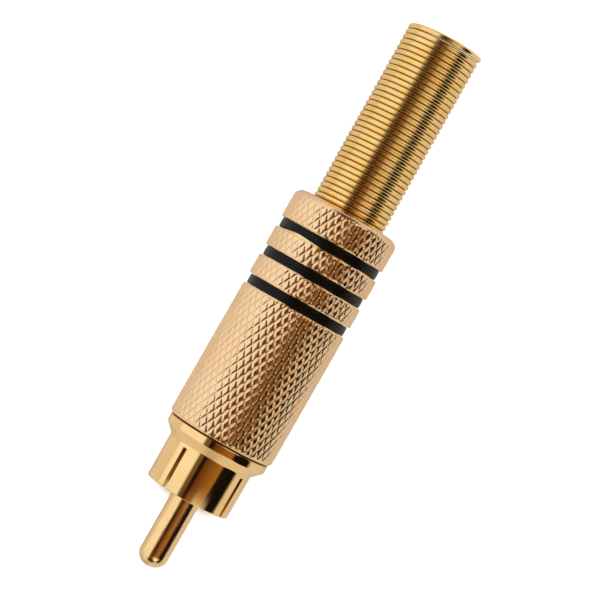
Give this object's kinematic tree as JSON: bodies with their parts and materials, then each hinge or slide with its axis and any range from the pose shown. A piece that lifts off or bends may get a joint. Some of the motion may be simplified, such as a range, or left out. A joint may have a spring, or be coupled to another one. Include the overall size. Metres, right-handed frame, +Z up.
{
  "type": "rca connector",
  "caption": "Straight cable plug with a round-nosed contact pin in a slotted collar, a knurled barrel with inset rings, and a coil-spring strain relief.",
  "frame": {"origin": "on the surface that the plug lies on, under its axis and halfway along its length", "axes": "+X along the plug's axis, from the contact pin towards the spring's free end; +Z up, away from the surface"},
  "size_m": [0.0622, 0.012, 0.0119],
  "materials": {
    "pin_gold": "polished gold plate",
    "body_gold": "polished gold plate",
    "barrel_gold": "satin gold plate, diamond knurled",
    "lug_gold": "gold-flashed stamped sheet",
    "spring_gold": "polished gold-plated wire",
    "band_black": "satin black, moulded",
    "insulator": "black, moulded"
  },
  "bodies": {
    "root": {"center_pin": "pin_gold", "pin_insulator": "insulator", "plug_body": "body_gold", "ground_lug": "lug_gold", "barrel": "barrel_gold", "band_ring_rear": "band_black", "band_ring_middle": "band_black", "band_ring_front": "band_black", "strain_relief_spring": "spring_gold"}
  },
  "joints": []
}
